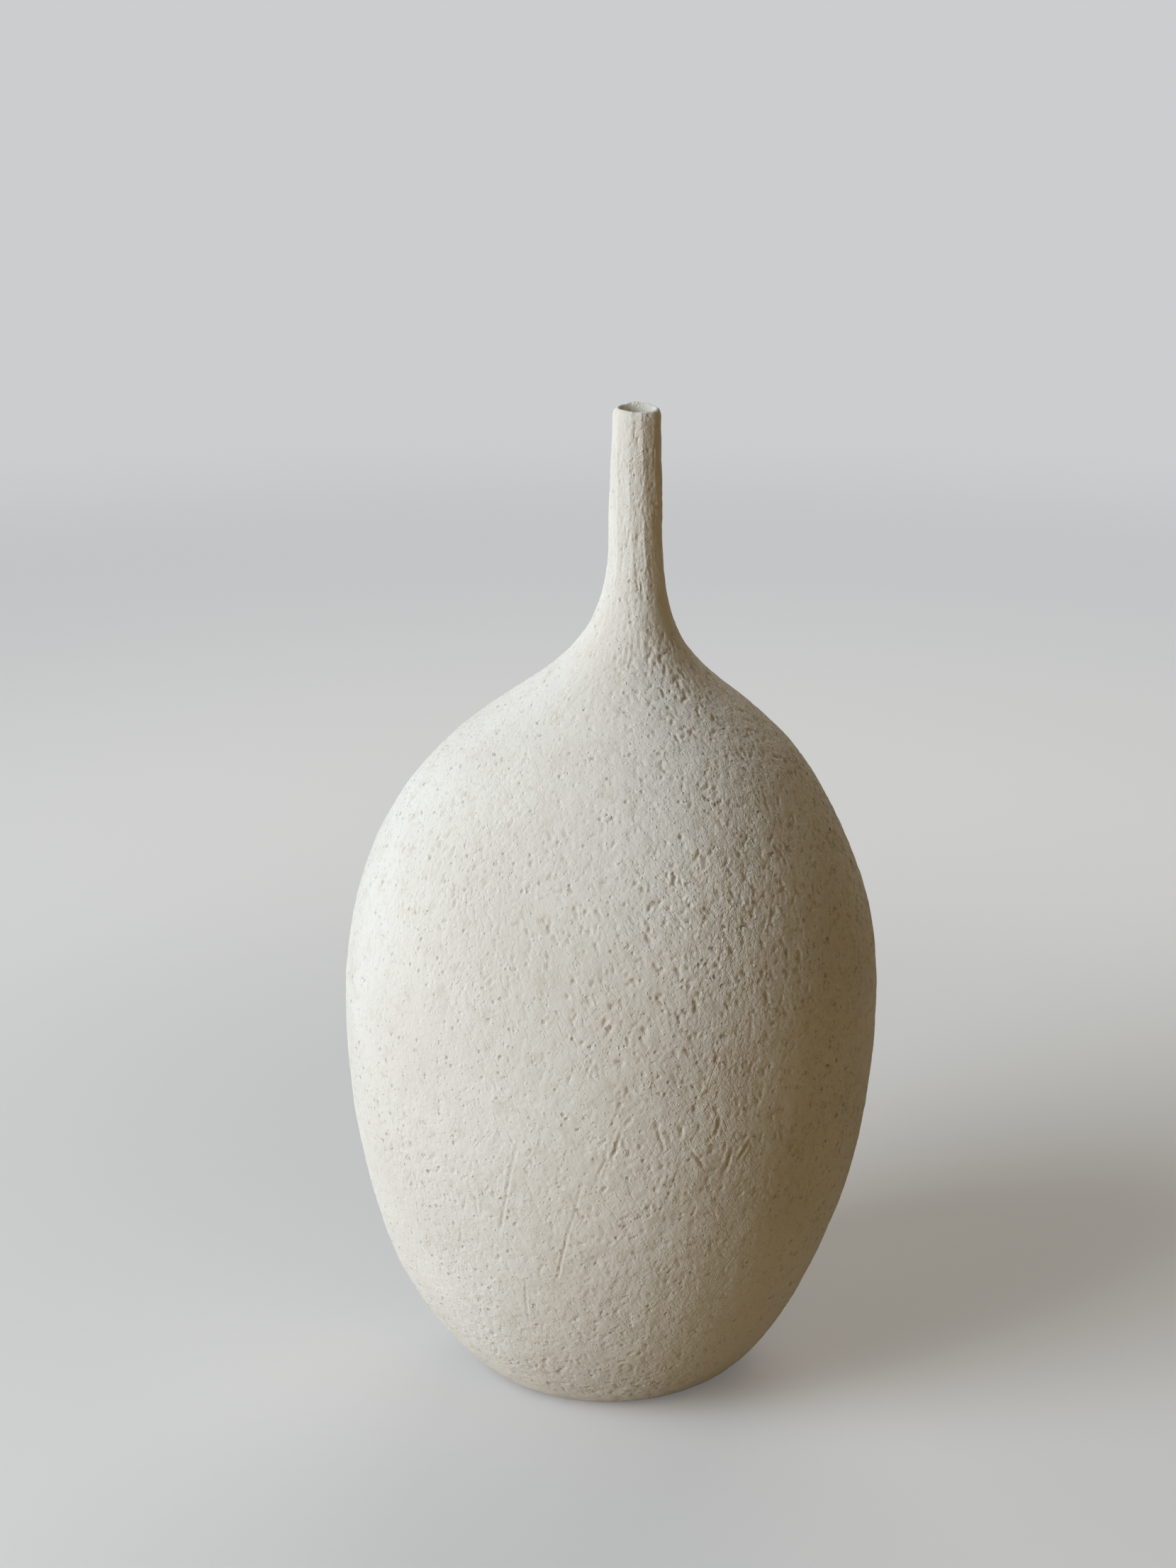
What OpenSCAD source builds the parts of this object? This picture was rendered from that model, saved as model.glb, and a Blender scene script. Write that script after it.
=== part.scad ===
// Hand-built ceramic bud vase: round belly, long flare and a thin neck set a little off the axis.
// Units are millimetres. Z is up, the foot rests on z = 0 and X is the side the neck leans to.
// The vase is fired as one pot. Each module is one clay section the potter makes and lutes on.

/* [Overall] */
// diameter at the widest line
belly_d = 133; // [111:1:160]
// height of the widest line
belly_z = 101; // [84:1:122]
// height from the widest line up to where the shoulder turns from round to hollow
dome_h = 66.5; // [56:0.5:80]
// height from that turn up to the neck seam
hollow_h = 38.5; // [34:0.5:46]
// how far the neck axis stands off the body axis
neck_shift = 5.8; // [0:0.1:7]

/* [Foot] */
// diameter where the foot meets the table
foot_d = 61; // [50:1:74]
// thickness of the foot slab
slab_t = 6; // [5:0.5:8]
// diameter of the shallow hollow pressed into the underside
dish_d = 38; // [30:1:46]
// depth of that hollow
dish_depth = 1; // [0.5:0.1:1.5]
// angle at which the underside leaves the table
heel_angle = 25; // [15:1:40]
// how far the underside holds that angle
heel_run = 11.5; // [8:0.5:14]

/* [Body curve] */
// how far below the widest line the curve starts to turn in
belly_drop = 65; // [50:1:78]
// how far above the widest line the curve starts to turn in
belly_rise = 35; // [28:1:42]
// diameter where the shoulder turns from round to hollow
shoulder_d = 78; // [65:1:94]
// slope of the shoulder at the turn, from level
shoulder_angle = 42; // [36:1:50]
// how far the shoulder holds that slope on the way down
shoulder_out = 12; // [8:0.5:16]
// how far the shoulder holds that slope on the way up
shoulder_in = 26.5; // [20:0.5:30]

/* [Clay sections] */
// wall of the courses and the shoulder
wall = 4.6; // [3.8:0.1:5.6]
// height of the first course above the foot slab
course_1_h = 32; // [27:1:38]
// height of the second course
course_2_h = 32; // [27:1:38]
// height of the third course, which holds the widest line
course_3_h = 40; // [34:1:48]
// height of the shoulder section, from its seam up to the neck seam
shoulder_h = 56; // [46:1:68]
// rise of the bevelled (scarf) seams between courses, from the outside in
scarf = 3; // [2:0.5:4]
// thickness of the glaze inside
glaze_t = 0.5; // [0.4:0.1:0.6]

/* [Neck] */
// length of the neck tube, seam to lip
neck_len = 44; // [36:1:54]
// bore the stem goes into
bore_d = 8; // [6.6:0.1:9.6]
// wall of the neck above the flare
neck_wall = 2.6; // [2:0.1:3.2]
// wall of the neck just under the lip
lip_wall = 1.9; // [1.5:0.1:2.3]
// width of the clay edge on top of the lip
lip_edge = 0.8; // [0.6:0.1:1]
// height of the scraped bevel round the lip
lip_bevel = 3; // [2:0.5:4]
// how far the flare runs on up the neck tube
flare_run = 13; // [10:1:16]
// how far the neck holds straight before the flare opens
flare_pull = 32; // [26:1:38]
// how far the throat holds straight before it opens inside
throat_pull = 20; // [15:1:24]
// bare clay between the glaze and the lip
bare_lip = 6; // [4:1:10]

/* [Hidden] */
$fn = 96;

clay = [0.86, 0.83, 0.77];
glaze = [0.92, 0.92, 0.90];

shoulder_z = belly_z + dome_h;
body_h = shoulder_z + hollow_h;
height = body_h + neck_len;
belly_r = belly_d / 2;
foot_r = foot_d / 2;
bore_r = bore_d / 2;
throat_r = bore_r + glaze_t;
neck_r = bore_r + neck_wall;
lip_r = bore_r + lip_wall;
rim_r = bore_r + lip_edge;
collar_z = body_h - shoulder_h;
seam_1 = slab_t + course_1_h;
seam_2 = seam_1 + course_2_h;
seam_3 = seam_2 + course_3_h;
flare_z = body_h + flare_run;
glaze_top = height - bare_lip;
lip_z = height - lip_bevel;
lean = neck_shift / shoulder_h;

// one point of a cubic curve between a and d, with handles b and c
function curve_at(a, b, c, d, t) =
    pow(1 - t, 3) * a + 3 * pow(1 - t, 2) * t * b + 3 * (1 - t) * t * t * c + pow(t, 3) * d;
function slope_at(a, b, c, d, t) =
    pow(1 - t, 2) * (b - a) + 2 * (1 - t) * t * (c - b) + t * t * (d - c);
function curve(k, n) = [for (i = [1:n]) curve_at(k[0], k[1], k[2], k[3], i / n)];
// the same curve moved in by the wall, square to the surface
function inward(v) = [-v[1], v[0]] / norm(v);
function inset(k, n) = [for (i = [0:n]) curve_at(k[0], k[1], k[2], k[3], i / n)
    + wall * inward(slope_at(k[0], k[1], k[2], k[3], i / n))];

heel_dir = [cos(heel_angle), sin(heel_angle)];
turn_dir = [cos(shoulder_angle), -sin(shoulder_angle)];
foot_pt = [foot_r, 0];
belly_pt = [belly_r, belly_z];
turn_pt = [shoulder_d / 2, shoulder_z];
turn_in = turn_pt + wall * inward(-turn_dir);
under = [foot_pt, foot_pt + heel_run * heel_dir, belly_pt - [0, belly_drop], belly_pt];
over = [belly_pt, belly_pt + [0, belly_rise], turn_pt + shoulder_out * turn_dir, turn_pt];
flare = [turn_pt, turn_pt - shoulder_in * turn_dir, [neck_r, flare_z - flare_pull], [neck_r, flare_z]];
throat = [turn_in, turn_in - 0.75 * shoulder_in * turn_dir, [throat_r, body_h - throat_pull], [throat_r, body_h]];

outside = concat([foot_pt], curve(under, 26), curve(over, 16), curve(flare, 26));
inside = concat(inset(under, 26), [for (p = inset(over, 16)) if (p[1] > belly_z + 1) p], curve(throat, 20));

// radius of either skin at a height, and the part of it between two heights
function swap(pts) = [for (p = pts) [p[1], p[0]]];
function radius(pts, z) = lookup(z, swap(pts));
function between(pts, z0, z1) = concat(
    [[radius(pts, z0), z0]],
    [for (p = pts) if (p[1] > z0 + 0.4 && p[1] < z1 - 0.4) p],
    [[radius(pts, z1), z1]]);
function back(pts) = [for (i = [len(pts) - 1:-1:0]) pts[i]];
function thinner(pts) = [for (i = [0:len(pts) - 1]) pts[i] - [glaze_t, 0]];

// turns a section in four quarters, leaning so that its top ring lies on the neck axis
module leaned_turn() {
    for (a = [0:90:270])
        multmatrix([[1, 0, lean, -lean * collar_z], [0, 1, 0, 0], [0, 0, 1, 0]])
            rotate([0, 0, a]) rotate_extrude(angle = 90) children();
}

// flat slab of clay with the heel rounded under and a shallow hollow beneath
module foot_slab() {
    color(clay) rotate_extrude() polygon(concat(
        [[0, dish_depth], [dish_d / 2 - 4, dish_depth], [dish_d / 2, 0]],
        between(outside, 0, slab_t),
        [[0, slab_t]]));
}

// one course of wall between two seams, each given by its height outside and its rise inwards
module course(low, low_rise, high, high_rise) {
    color(clay) rotate_extrude() polygon(concat(
        between(outside, low, high),
        back(between(inside, low + low_rise, high + high_rise))));
}

// the wall is built in four courses, the first luted flat on the slab
module course_1() {
    course(slab_t, 0, seam_1, scarf);
}

module course_2() {
    course(seam_1, scarf, seam_2, scarf);
}

module course_3() {
    course(seam_2, scarf, seam_3, scarf);
}

module course_4() {
    course(seam_3, scarf, collar_z, 0);
}

// shoulder drawn up to the neck seam, leaning to the neck side
module shoulder() {
    color(clay) leaned_turn() polygon(concat(
        between(outside, collar_z, body_h),
        back(between(inside, collar_z, body_h))));
}

// neck tube rolled on a dowel, its bore straight and its lip scraped to a bevel
module neck_tube() {
    color(clay) translate([neck_shift, 0, 0]) rotate_extrude() polygon(concat(
        between(outside, body_h, flare_z),
        [[lip_r, lip_z], [rim_r + 0.25, height - 0.5], [rim_r - 0.1, height]],
        [[bore_r + 0.2, height], [bore_r, height - 0.3]],
        [[bore_r, glaze_top], [throat_r, glaze_top], [throat_r, body_h]]));
}

// glaze poured inside and wiped back below the lip, as the coat on each stretch of the inside
module liner_belly() {
    color(glaze) rotate_extrude() polygon(concat(
        [[0, slab_t]],
        between(inside, slab_t, collar_z),
        back(thinner(between(inside, slab_t + glaze_t, collar_z))),
        [[0, slab_t + glaze_t]]));
}

module liner_shoulder() {
    color(glaze) leaned_turn() polygon(concat(
        between(inside, collar_z, body_h),
        back(thinner(between(inside, collar_z, body_h)))));
}

module liner_neck() {
    color(glaze) translate([neck_shift, 0, 0]) rotate_extrude() polygon([
        [throat_r, body_h], [throat_r, glaze_top], [bore_r, glaze_top], [bore_r, body_h]]);
}

foot_slab();
course_1();
course_2();
course_3();
course_4();
shoulder();
neck_tube();
liner_belly();
liner_shoulder();
liner_neck();
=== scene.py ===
"""Hand-built ceramic bud vase: the clay sections, the liner glaze and a plain studio."""
import logging
import math
from dataclasses import dataclass, field
from enum import Enum

import bpy
import numpy as np
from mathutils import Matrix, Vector


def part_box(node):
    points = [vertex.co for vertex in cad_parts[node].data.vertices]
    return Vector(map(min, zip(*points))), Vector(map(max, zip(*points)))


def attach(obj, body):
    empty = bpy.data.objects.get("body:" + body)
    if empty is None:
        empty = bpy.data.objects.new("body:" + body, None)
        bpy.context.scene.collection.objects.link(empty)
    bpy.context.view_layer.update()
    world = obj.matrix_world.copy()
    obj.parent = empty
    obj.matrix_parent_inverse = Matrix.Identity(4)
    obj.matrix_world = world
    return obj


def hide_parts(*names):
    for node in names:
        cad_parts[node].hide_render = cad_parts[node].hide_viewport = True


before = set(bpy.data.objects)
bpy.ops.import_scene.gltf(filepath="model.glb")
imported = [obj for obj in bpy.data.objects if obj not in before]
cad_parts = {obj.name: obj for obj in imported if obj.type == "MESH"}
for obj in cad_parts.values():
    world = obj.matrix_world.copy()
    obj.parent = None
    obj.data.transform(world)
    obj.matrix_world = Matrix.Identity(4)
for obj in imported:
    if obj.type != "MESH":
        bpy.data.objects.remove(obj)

log = logging.getLogger("bud_vase")
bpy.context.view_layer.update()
MM = 0.001


class MarkKind(Enum):
    """What left a mark in the leather-hard clay."""

    GOUGE = "a grain of grog dragged by the scraper"
    PIT = "a grain of grog torn out"
    SCRATCH = "the corner of the scraper"


class Lay(Enum):
    """Which way the marks run on a part of the pot."""

    WANDERING = "in patches that slant one way and another"
    UPRIGHT = "up the neck and the hollow of the shoulder"
    LEVEL = "round the heel"


def smooth(x: np.ndarray, low: float, high: float) -> np.ndarray:
    """Eases from 0 at low to 1 at high.

    Args:
        x: the values.
        low: where the step starts.
        high: where it ends.

    Returns:
        The eased values, as large as x.
    """
    t = np.clip((np.asarray(x, float) - low) / (high - low), 0.0, 1.0)
    return t * t * (3 - 2 * t)


def bezier(points: tuple, count: int) -> np.ndarray:
    """Follows one cubic curve.

    Args:
        points: its two ends and two handles, in order.
        count: how many points to return.

    Returns:
        An array of count (radius, height) pairs, both ends included.
    """
    a, b, c, d = (np.array(p, float) for p in points)
    t = np.linspace(0, 1, count)[:, None]
    return (1 - t) ** 3 * a + 3 * (1 - t) ** 2 * t * b + 3 * (1 - t) * t * t * c + t**3 * d


@dataclass
class PotForm:
    """The smooth outline of the pot and the line its middle follows, in metres."""

    height: float = 250 * MM
    belly_r: float = 66.5 * MM
    belly_z: float = 101 * MM
    dome_h: float = 66.5 * MM
    hollow_h: float = 38.5 * MM
    foot_r: float = 30.5 * MM
    heel_angle: float = 25.0
    heel_run: float = 11.5 * MM
    belly_drop: float = 65 * MM
    belly_rise: float = 35 * MM
    shoulder_r: float = 39 * MM
    shoulder_angle: float = 42.0
    shoulder_out: float = 12 * MM
    shoulder_in: float = 26.5 * MM
    wall: float = 4.6 * MM
    glaze_t: float = 0.5 * MM
    bore_r: float = 4 * MM
    neck_wall: float = 2.6 * MM
    lip_wall: float = 1.9 * MM
    lip_edge: float = 0.8 * MM
    lip_bevel: float = 3 * MM
    flare_run: float = 13 * MM
    flare_pull: float = 32 * MM
    throat_pull: float = 20 * MM
    neck_shift: float = 5.8 * MM
    wander: tuple = (
        (0, -0.3), (28, -1.1), (62, -0.3), (90, 0.0), (122, 0.35), (150, 0.1), (185, 0.0), (215, 0.05),
        (251, 0.32),
    )
    outside: np.ndarray = field(init=False)
    inside: np.ndarray = field(init=False)

    def __post_init__(self) -> None:
        """Works out both skins once."""
        turn_z = self.belly_z + self.dome_h
        seam_z = turn_z + self.hollow_h
        heel = math.radians(self.heel_angle)
        slope = math.radians(self.shoulder_angle)
        down = np.array([math.cos(slope), -math.sin(slope)])
        foot = np.array([self.foot_r, 0.0])
        belly = np.array([self.belly_r, self.belly_z])
        turn = np.array([self.shoulder_r, turn_z])
        flare_z = seam_z + self.flare_run
        neck_r = self.bore_r + self.neck_wall
        under = (foot, foot + self.heel_run * np.array([math.cos(heel), math.sin(heel)]),
                 belly - [0, self.belly_drop], belly)
        over = (belly, belly + [0, self.belly_rise], turn + self.shoulder_out * down, turn)
        flare = (turn, turn - self.shoulder_in * down,
                 (neck_r, flare_z - self.flare_pull), (neck_r, flare_z))
        lip_r = self.bore_r + self.lip_wall
        lip_z = self.height - self.lip_bevel
        rim_r = self.bore_r + self.lip_edge
        tube = ((neck_r, flare_z), (neck_r, flare_z + 9 * MM), (lip_r, lip_z - 9 * MM), (lip_r, lip_z))
        lip = ((lip_r, lip_z), (lip_r, lip_z + 2 * MM),
               (rim_r + 0.5 * MM, self.height), (rim_r, self.height))
        curves = [bezier(c, 400)[:-1] for c in (under, over, flare, tube)]
        self.outside = np.vstack([*curves, bezier(lip, 80)])
        throat_r = self.bore_r + self.glaze_t
        walls = np.vstack([bezier(under, 300)[:-1], bezier(over, 200)])
        away = np.gradient(walls, axis=0)
        away = np.stack([-away[:, 1], away[:, 0]], 1) / np.linalg.norm(away, axis=1)[:, None]
        walls = walls + self.wall * away
        start = walls[-1]
        throat = (start, start - 0.75 * self.shoulder_in * down, (throat_r, seam_z - self.throat_pull),
                  (throat_r, seam_z))
        self.inside = np.vstack([walls[:-1], bezier(throat, 200), [[throat_r, self.height]]])
        step = np.hypot(*np.diff(self.outside, axis=0).T)
        self.run = np.concatenate([[0.0], np.cumsum(step)])

    def centre(self, z: np.ndarray) -> np.ndarray:
        """Gives the x of the middle of the pot at a height.

        Args:
            z: heights.

        Returns:
            How far the middle stands off the foot's axis at each.
        """
        lean = self.neck_shift * smooth(z, 136 * MM, 212 * MM)
        at = np.array(self.wander) * MM
        z = np.asarray(z, float)
        drift = np.zeros_like(z)
        for (z0, d0), (z1, d1) in zip(at[:-1], at[1:]):
            part = (z >= z0) & (z < z1)
            drift = np.where(part, d0 + (d1 - d0) * smooth(z, z0, z1), drift)
        return lean + drift

    def run_at(self, z: float) -> float:
        """Gives the distance along the outside, from the foot, at a height."""
        return float(np.interp(z, self.outside[:, 1], self.run))

    def skin_at(self, run: np.ndarray) -> tuple:
        """Gives the outside at distances along it.

        Args:
            run: distances from the foot.

        Returns:
            Radius, height, and the radial and upward parts of the outward normal.
        """
        r = np.interp(run, self.run, self.outside[:, 0])
        z = np.interp(run, self.run, self.outside[:, 1])
        reach = 0.4 * MM
        low, high = np.maximum(run - reach, 0), np.minimum(run + reach, self.run[-1])
        dr = np.interp(high, self.run, self.outside[:, 0]) - np.interp(low, self.run, self.outside[:, 0])
        dz = np.interp(high, self.run, self.outside[:, 1]) - np.interp(low, self.run, self.outside[:, 1])
        size = np.hypot(dr, dz)
        return r, z, dz / size, -dr / size

    def inner_r(self, z: np.ndarray) -> np.ndarray:
        """Gives the radius of the clay's inside at a height."""
        return np.interp(z, self.inside[:, 1], self.inside[:, 0])


@dataclass(frozen=True)
class MarkStyle:
    """How one kind of mark looks, in millimetres, and how thickly it is spread."""

    kind: MarkKind
    per_cm2: float
    length: tuple
    width: tuple
    depth: tuple
    burr: float = 0.3


@dataclass(frozen=True)
class Scratch:
    """One scratch: degrees round from the front and heights of its ends, half width and depth, in mm."""

    from_deg: float
    from_z: float
    to_deg: float
    to_z: float
    width: float
    depth: float


SCRATCHES = (
    Scratch(-20, 85, -25, 60, 0.42, 0.24), Scratch(-22, 80, -26, 72, 0.30, 0.15),
    Scratch(-30, 79, -35, 60, 0.30, 0.15), Scratch(-35, 60, -38, 47, 0.26, 0.16),
    Scratch(-6, 76, -9, 62, 0.32, 0.20), Scratch(-9, 63, -12, 48, 0.30, 0.26),
    Scratch(2, 90, 0, 82, 0.42, 0.24), Scratch(-1, 83, -3, 77, 0.32, 0.20),
    Scratch(-20, 46, -21, 29, 0.30, 0.20), Scratch(-26, 91, -26, 85, 0.26, 0.15),
    Scratch(-54, 84, -54, 78, 0.26, 0.16), Scratch(-30, 60, -32, 51, 0.26, 0.15),
    Scratch(5, 90, 12, 78, 0.22, 0.15), Scratch(9, 91, 11, 84, 0.36, 0.28),
    Scratch(17, 83, 20, 78, 0.40, 0.28), Scratch(26, 82, 25, 76, 0.50, 0.32),
    Scratch(30, 83, 28, 79, 0.50, 0.34), Scratch(23, 91, 22, 87, 0.44, 0.28),
    Scratch(-70, 96, -72, 80, 0.30, 0.18), Scratch(118, 74, 112, 52, 0.34, 0.22),
    Scratch(160, 92, 166, 66, 0.36, 0.24), Scratch(-128, 60, -133, 40, 0.34, 0.22),
)


DRAGGED = MarkStyle(
    MarkKind.GOUGE, per_cm2=11.0, length=(0.6, 2.8), width=(0.24, 0.46), depth=(0.03, 0.44), burr=0.18
)
TORN = MarkStyle(
    MarkKind.PIT, per_cm2=15.0, length=(0.1, 0.8), width=(0.26, 0.5), depth=(0.04, 0.48), burr=0.18
)
LONG = MarkStyle(MarkKind.SCRATCH, per_cm2=0.16, length=(4, 11), width=(0.22, 0.36), depth=(0.1, 0.22))
DRAWN = MarkStyle(
    MarkKind.SCRATCH, per_cm2=20.0, length=(1.5, 6), width=(0.2, 0.34), depth=(0.03, 0.2), burr=0.15
)

# Each style, the heights of the band it covers in mm, and how much of its depth it keeps there.
BANDS = (
    (DRAGGED, 0.5, 196, 1.0),
    (TORN, 0.5, 196, 1.0),
    (TORN, 196, 246, 0.5),
    (LONG, 12, 150, 1.0),
    (DRAWN, 182, 246, 1.0),
)


class ToolMarks:
    """A height map of every scraper mark on the outside, unrolled round the pot."""

    UPRIGHT_FROM = 186 * MM
    LEVEL_TO = 15 * MM
    CROSSINGS = (44, 62, 88)
    DEEPEST = -0.42 * MM
    HIGHEST = 0.2 * MM

    def __init__(self, form: PotForm, cell: float = 0.25 * MM, columns: int = 1600, seed: int = 11) -> None:
        """Starts with bare clay.

        Args:
            form: the pot.
            cell: spacing of the rows along the outside.
            columns: cells round the pot.
            seed: what every random choice follows.
        """
        self.form, self.cell, self.columns = form, cell, columns
        self.rows = int(form.run[-1] / cell) + 2
        self.map = np.zeros((self.rows, columns), np.float32)
        self.rng = np.random.default_rng(seed)
        self.waves = self.rng.uniform(-1, 1, (3, 7, 4))

    def patch(self, run: np.ndarray, turn: np.ndarray, layer: int) -> np.ndarray:
        """Gives a slow random value that closes round the pot.

        Args:
            run: distances along the outside.
            turn: angles round it.
            layer: which of the three fields to read.

        Returns:
            Values of about -1 to 1.
        """
        total = np.zeros(np.broadcast(run, turn).shape)
        for k, (a, b, c, d) in enumerate(self.waves[layer]):
            around, along = k % 4 + 1, (1 + 2.2 * abs(a)) / (60 * MM)
            total += np.sin(around * turn + 6.3 * b + along * run * 2 + 3 * c) * (0.5 + 0.5 * abs(d))
        return np.clip(total / 2.2, -1, 1)

    def lay_angle(self, run: float, turn: float, z: float) -> float:
        """Chooses the angle of one mark from upright, in radians.

        Args:
            run: where it lies along the outside.
            turn: where it lies round the pot.
            z: its height.

        Returns:
            The angle, positive when its top leans towards the way turn grows.
        """
        lay = Lay.UPRIGHT if z > self.UPRIGHT_FROM else Lay.LEVEL if z < self.LEVEL_TO else Lay.WANDERING
        if lay is Lay.UPRIGHT:
            return math.radians(self.rng.normal(0, 7))
        if lay is Lay.LEVEL and self.rng.random() < 0.6:
            return math.radians(self.rng.normal(84, 10))
        left = math.exp(-(((turn - 4.05) / 0.55) ** 2)) * math.exp(-(((z - 48 * MM) / (34 * MM)) ** 2))
        slant = -27 + 20 * float(self.patch(np.array(run), np.array(turn), 0))
        slant = slant * (1 - left) + 9 * left
        high = float(smooth(np.array(z), 150 * MM, self.UPRIGHT_FROM))
        slant = slant * (1 - 0.7 * high)
        if self.rng.random() < 0.34:
            slant += self.rng.choice(self.CROSSINGS)
        return math.radians(slant + self.rng.normal(0, 15))

    def spread(self, style: MarkStyle, low: float, high: float, gain: float) -> int:
        """Covers a band of the pot with marks of one style.

        Args:
            style: the marks.
            low: height of the band's bottom.
            high: height of its top.
            gain: share of the style's depth that they reach.

        Returns:
            How many were made.
        """
        form, rng = self.form, self.rng
        runs = np.linspace(form.run_at(low), form.run_at(high), 400)
        radii = form.skin_at(runs)[0]
        area = float(2 * math.pi * radii.mean() * (runs[-1] - runs[0])) * 1e4
        count = int(area * style.per_cm2)
        share = np.cumsum(radii)
        at = np.interp(rng.random(count), share / share[-1], runs)
        turns = rng.uniform(0, 2 * math.pi, count)
        r, z = form.skin_at(at)[:2]
        tone = (0.85 + 0.4 * self.patch(at, turns, 1)) * (1 + 0.3 * np.sin(turns + 1.75))
        tone = tone * (0.85 + 0.45 * smooth(z, 60 * MM, 150 * MM))
        least, most = style.depth
        deep = (least + (most - least) * rng.random(count) ** 2) * MM
        for k in range(count):
            spin = self.lay_angle(at[k], turns[k], z[k])
            if style.kind is MarkKind.PIT:
                spin += rng.normal(0, 0.6)
            self.press(
                style, at[k], turns[k], r[k], spin, rng.uniform(*style.length) * MM,
                rng.uniform(*style.width) * MM, deep[k] * gain * tone[k],
            )
        return count

    def press(self, style: MarkStyle, run: float, turn: float, r: float, spin: float, length: float,
              width: float, depth: float) -> None:
        """Presses one mark into the map.

        Args:
            style: the kind of mark.
            run: its middle along the outside.
            turn: its middle round the pot.
            r: radius of the pot there.
            spin: its angle from upright.
            length: its length.
            width: its half width.
            depth: its depth.
        """
        c, s = math.cos(spin), math.sin(spin)
        half = length / 2 + width
        reach_s = abs(half * c) + 3 * width
        reach_t = (abs(half * s) + 3 * width) / r
        step_t = 2 * math.pi / self.columns
        i0, i1 = int((run - reach_s) / self.cell), int((run + reach_s) / self.cell) + 2
        i0, i1 = max(i0, 0), min(i1, self.rows)
        j0, j1 = int((turn - reach_t) / step_t), int((turn + reach_t) / step_t) + 2
        if i1 <= i0 or j1 - j0 > self.columns // 2:
            return
        ds = (np.arange(i0, i1) * self.cell - run)[:, None]
        dt = ((np.arange(j0, j1) * step_t - turn) * r)[None, :]
        along = (ds * c + dt * s) / half
        across = (dt * c - ds * s) / width
        ends = np.clip(1 - along**2, 0, 1)
        bite = depth * ends * (0.75 + 0.25 * along)
        shape = -bite * np.exp(-(across**2))
        if style.burr:
            shape += style.burr * bite * np.exp(-(((np.abs(across) - 1.75) / 0.75) ** 2))
        if style.kind is MarkKind.GOUGE:
            tip = ((along - 0.62) * half) ** 2 / width**2 + across**2
            shape -= 0.45 * depth * np.exp(-tip)
        self.map[i0:i1, np.arange(j0, j1) % self.columns] += shape.astype(np.float32)

    def draw(self, scratch: Scratch) -> None:
        """Draws one scratch from end to end, a little unsteadily.

        Args:
            scratch: where it runs.
        """
        fade = (0.8, 1.1, 1.3, 1.3, 1.1, 0.8)
        form, steps = self.form, len(fade)
        overlap, slimmer, shake = 1.7, 0.85, 0.07 * MM
        style = MarkStyle(MarkKind.SCRATCH, 0, (), (), (), burr=0.35)
        share = np.linspace(0, 1, steps + 1)
        turns = np.radians(270 + scratch.from_deg + (scratch.to_deg - scratch.from_deg) * share)
        heights = (scratch.from_z + (scratch.to_z - scratch.from_z) * share) * MM
        runs = np.array([form.run_at(z) for z in heights])
        r = form.skin_at(runs)[0]
        turns = turns + self.rng.normal(0, shake, steps + 1) / r
        for k in range(steps):
            across, along = (turns[k + 1] - turns[k]) * r[k], runs[k + 1] - runs[k]
            run, turn = (runs[k] + runs[k + 1]) / 2, (turns[k] + turns[k + 1]) / 2
            spin, length = math.atan2(across, along), overlap * math.hypot(across, along)
            width, depth = scratch.width * MM * slimmer, scratch.depth * MM * fade[k]
            self.press(style, run, turn, r[k], spin, length, width, depth)

    def sample(self, run: np.ndarray, turn: np.ndarray) -> np.ndarray:
        """Reads the map between its cells.

        Args:
            run: distances along the outside.
            turn: angles round the pot, as many as run.

        Returns:
            Heights above the smooth outside.
        """
        i = np.clip(run / self.cell, 0, self.rows - 1.001)
        j = (turn / (2 * math.pi)) % 1.0 * self.columns
        i0, j0 = i.astype(int), j.astype(int)
        fi, fj = i - i0, j - j0
        j0, j1 = j0 % self.columns, (j0 + 1) % self.columns
        top = self.map[i0, j0] * (1 - fj) + self.map[i0, j1] * fj
        bottom = self.map[i0 + 1, j0] * (1 - fj) + self.map[i0 + 1, j1] * fj
        return np.clip(top * (1 - fi) + bottom * fi, self.DEEPEST, self.HIGHEST)


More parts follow.
